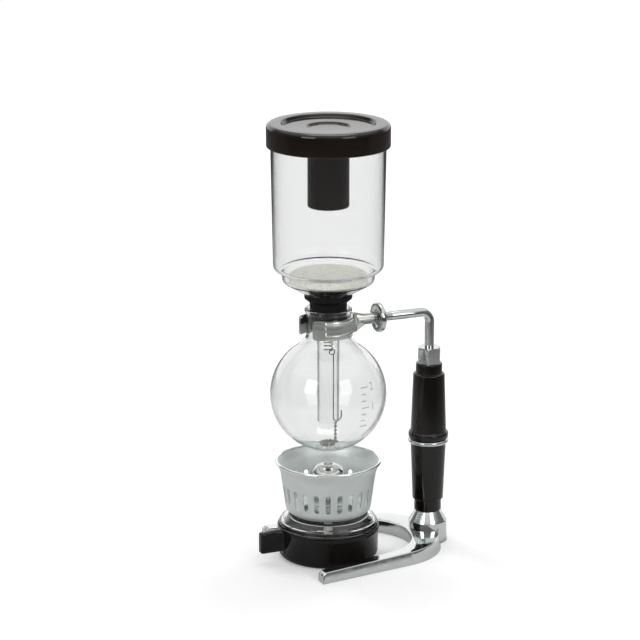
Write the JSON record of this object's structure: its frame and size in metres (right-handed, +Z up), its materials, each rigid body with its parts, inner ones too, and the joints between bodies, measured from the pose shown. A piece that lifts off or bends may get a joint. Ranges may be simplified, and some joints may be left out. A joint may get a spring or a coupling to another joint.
{
  "type": "siphon coffee maker",
  "caption": "Vacuum coffee maker: glass bulb clamped to a chrome stand with a dark grip, glass funnel with cloth filter and lid above, spirit burner with slotted wind shield below.",
  "frame": {"origin": "on the bulb's vertical axis at bench level", "axes": "+X from the bulb towards the grip, +Y to the rear side of the stand, +Z up"},
  "size_m": [0.1535, 0.1182, 0.3297],
  "materials": {
    "frame_chrome": "bright chrome plating on cast metal",
    "arm_chrome": "bright chrome plating on a bent rod",
    "nut_chrome": "bright chrome plating",
    "ring_chrome": "bright chrome plating",
    "grip_black": "polished black moulded plastic",
    "clamp_steel": "satin pressed steel",
    "bulb_glass": "clear heat-proof glass",
    "funnel_glass": "clear heat-proof glass",
    "lamp_glass": "clear pressed glass",
    "gasket_rubber": "matte black rubber",
    "filter_cloth": "cream cotton cloth",
    "filter_steel": "satin stainless steel",
    "spring_steel": "bright stainless wire",
    "chain_chrome": "plated ball chain",
    "lid_brown": "polished brown-black moulded plastic",
    "holder_black": "polished black moulded plastic",
    "lamp_chrome": "bright plating",
    "wick_cotton": "white cotton",
    "shield_aluminium": "satin anodised aluminium",
    "cap_chrome": "bright plating"
  },
  "bodies": {
    "stand": {"base_frame": "frame_chrome", "arm_rod": "arm_chrome", "hex_nut": "nut_chrome", "grip_lower": "grip_black", "grip_ring": "ring_chrome", "grip_upper": "grip_black", "clamp_rear": "clamp_steel", "lower_bulb": "bulb_glass"},
    "nut_carriage": {"clamp_nut_hub": "nut_chrome"},
    "clamp_nut": {"clamp_nut": "nut_chrome"},
    "clamp_jaw": {"clamp_front": "clamp_steel"},
    "funnel": {"funnel_glass": "funnel_glass", "funnel_stem": "funnel_glass", "gasket": "gasket_rubber", "filter_cloth": "filter_cloth", "filter_disc": "filter_steel", "filter_stud": "filter_steel", "filter_spring": "spring_steel"},
    "filter_pull": {"pull_hook": "spring_steel", "bead_chain": "chain_chrome"},
    "lid": {"lid": "lid_brown"},
    "burner": {"burner_holder": "holder_black", "lamp_reservoir": "lamp_glass", "lamp_collar": "lamp_chrome", "wick_tube": "lamp_chrome", "wick": "wick_cotton"},
    "windshield": {"windshield": "shield_aluminium"},
    "snuffer_cap": {"snuffer_cap": "cap_chrome"}
  },
  "joints": [
    {"name": "nut_travel", "type": "slide", "parent": "stand", "child": "nut_carriage", "axis": [1, 0, 0], "range_m": [0, 0.005]},
    {"name": "clamp_nut_turn", "type": "hinge", "parent": "nut_carriage", "child": "clamp_nut", "pos_m": [0.0406, 0, 0.1798], "axis": [1, 0, 0], "range_deg": [0, 1440]},
    {"name": "clamp_open", "type": "hinge", "parent": "stand", "child": "clamp_jaw", "pos_m": [0.04, -0.00105, 0.1798], "axis": [0, 0, 1], "range_deg": [0, 6]},
    {"name": "funnel_lift", "type": "slide", "parent": "stand", "child": "funnel", "axis": [0, 0, 1], "range_m": [0, 0.15]},
    {"name": "filter_chain_pull", "type": "slide", "parent": "funnel", "child": "filter_pull", "axis": [0, 0, -1], "range_m": [0, 0.004], "stiffness_N_per_m": 150, "deforming": ["filter_spring", "bead_chain"]},
    {"name": "lid_lift", "type": "slide", "parent": "funnel", "child": "lid", "axis": [0, 0, 1], "range_m": [0, 0.08]},
    {"name": "burner_slide", "type": "slide", "parent": "stand", "child": "burner", "axis": [-1, 0, 0], "range_m": [0, 0.15]},
    {"name": "windshield_lift", "type": "slide", "parent": "burner", "child": "windshield", "axis": [0, 0, 1], "range_m": [0, 0.025]},
    {"name": "snuffer_lift", "type": "slide", "parent": "burner", "child": "snuffer_cap", "axis": [0, 0, 1], "range_m": [0, 0.009]}
  ],
  "couplings": [
    {"joint": "nut_travel", "follows": "clamp_nut_turn", "m_per_rad": 0.00019894},
    {"joint": "clamp_open", "follows": "clamp_nut_turn", "ratio": 0.0041667}
  ]
}
